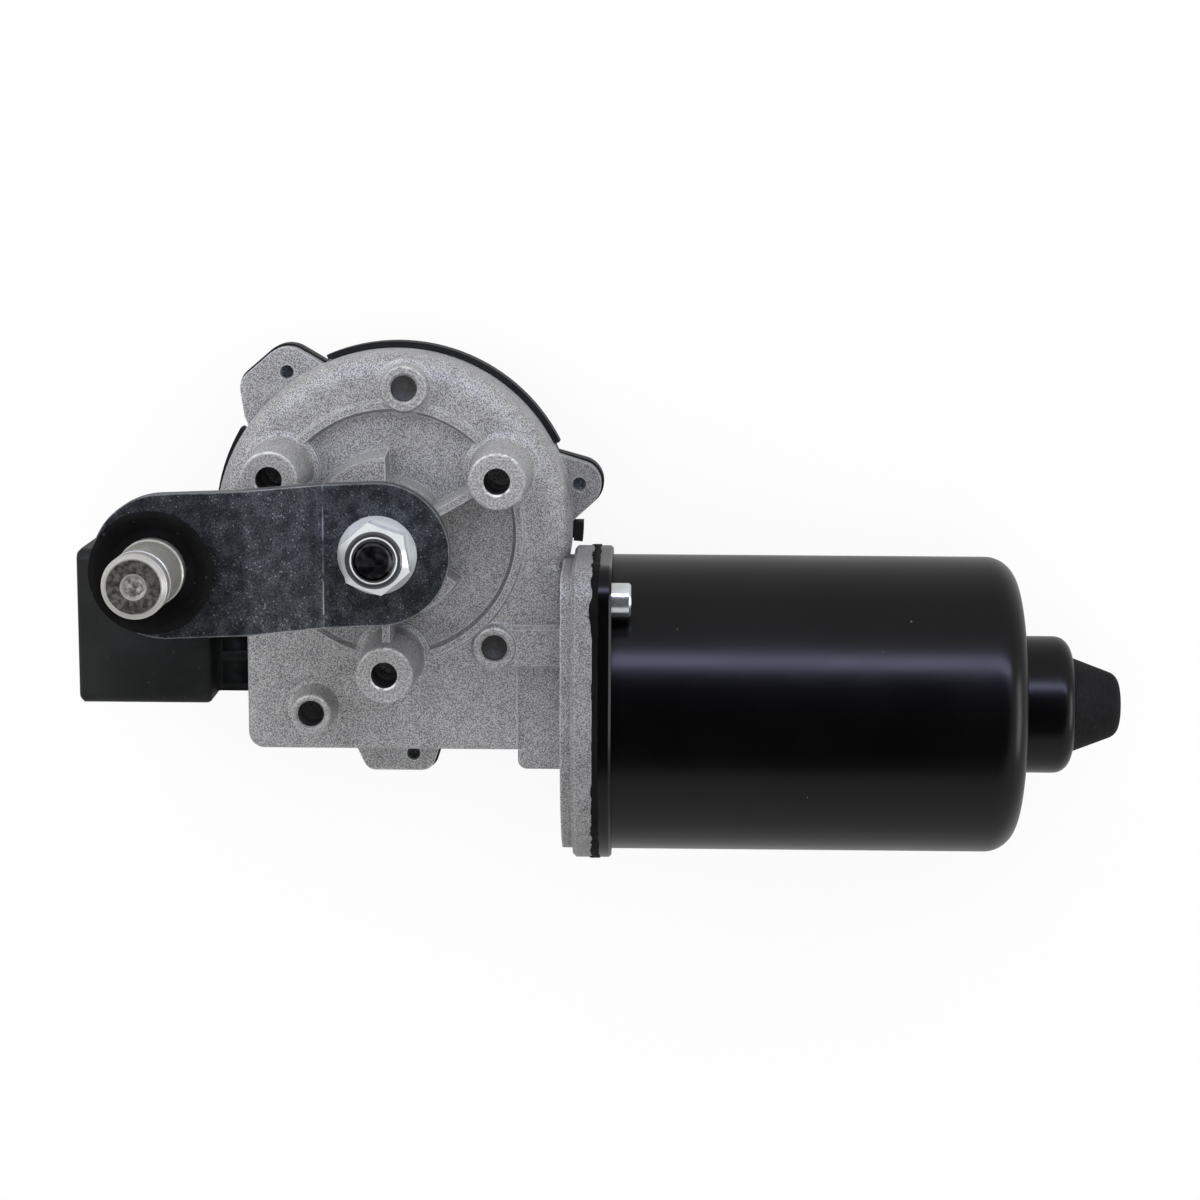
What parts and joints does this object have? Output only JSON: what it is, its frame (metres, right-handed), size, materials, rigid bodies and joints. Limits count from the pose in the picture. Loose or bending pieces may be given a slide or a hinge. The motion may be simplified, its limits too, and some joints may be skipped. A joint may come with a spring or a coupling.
{
  "type": "wiper motor",
  "caption": "Geared wiper motor with a drawn motor can, a die-cast worm gearbox with mounting bosses, a side connector and a crank arm with a drive pin on its output shaft.",
  "frame": {"origin": "on the output shaft axis, in the plane of the three mounting boss faces", "axes": "+Z out of the boss faces along the output shaft, +X along the motor away from the gearbox"},
  "size_m": [0.2247, 0.111, 0.103],
  "materials": {
    "cast_aluminium": "sand-grained die casting",
    "black_enamel": "smooth satin black",
    "zinc_plate": "blue zinc plated",
    "bright_zinc": "bright zinc plated",
    "polished_steel": "ground and polished",
    "dark_steel": "oiled steel",
    "black_plastic": "moulded satin black",
    "black_rubber": "soft black rubber",
    "tinned_brass": "tinned",
    "copper": "enamelled and bare copper",
    "lamination_steel": "stacked sheet",
    "ferrite": "matt dark grey",
    "carbon": "matt carbon",
    "sintered_bronze": "oil-filled sintered bronze",
    "wheel_plastic": "natural nylon"
  },
  "bodies": {
    "housing": {"back_cover": "black_plastic", "brush_1": "carbon", "brush_2": "carbon", "brush_3": "carbon", "brush_holder_1": "tinned_brass", "brush_holder_2": "tinned_brass", "brush_holder_3": "tinned_brass", "brush_plate": "black_plastic", "brush_spring_1": "dark_steel", "brush_spring_2": "dark_steel", "brush_spring_3": "dark_steel", "can_screw_1": "zinc_plate", "can_screw_2": "zinc_plate", "choke_1": "copper", "choke_2": "copper", "connector_housing": "black_plastic", "contact_finger_1": "tinned_brass", "contact_finger_2": "tinned_brass", "contact_finger_3": "tinned_brass", "cover_screw_1": "zinc_plate", "cover_screw_2": "zinc_plate", "cover_screw_3": "zinc_plate", "cover_seal": "black_rubber", "end_bush": "sintered_bronze", "front_bush": "sintered_bronze", "gearbox_housing": "cast_aluminium", "magnet_1": "ferrite", "magnet_2": "ferrite", "magnet_spring_1": "dark_steel", "magnet_spring_2": "dark_steel", "motor_can": "black_enamel", "motor_gasket": "black_rubber", "output_bush_bottom": "sintered_bronze", "output_bush_top": "sintered_bronze", "rear_bush": "sintered_bronze", "rear_cap": "black_rubber", "terminal_1": "tinned_brass", "terminal_2": "tinned_brass", "terminal_3": "tinned_brass", "terminal_4": "tinned_brass", "terminal_5": "tinned_brass", "thrust_button": "wheel_plastic", "thrust_washer": "dark_steel"},
    "armature": {"armature_shaft": "dark_steel", "armature_core": "lamination_steel", "armature_windings": "copper", "commutator": "copper"},
    "output_drive": {"worm_wheel": "wheel_plastic", "contact_disc": "tinned_brass", "output_shaft": "dark_steel", "retaining_ring": "dark_steel", "crank_arm": "zinc_plate", "crank_nut": "bright_zinc", "crank_pin": "polished_steel", "pin_seal": "black_rubber"}
  },
  "joints": [
    {"name": "crank_turn", "type": "hinge", "parent": "housing", "child": "output_drive", "pos_m": [0, 0, 0], "axis": [0, 0, 1], "continuous": true},
    {"name": "armature_spin", "type": "hinge", "parent": "housing", "child": "armature", "pos_m": [0, -0.0376, -0.028], "axis": [1, 0, 0], "continuous": true}
  ],
  "couplings": [
    {"joint": "armature_spin", "follows": "crank_turn", "ratio": -60}
  ]
}
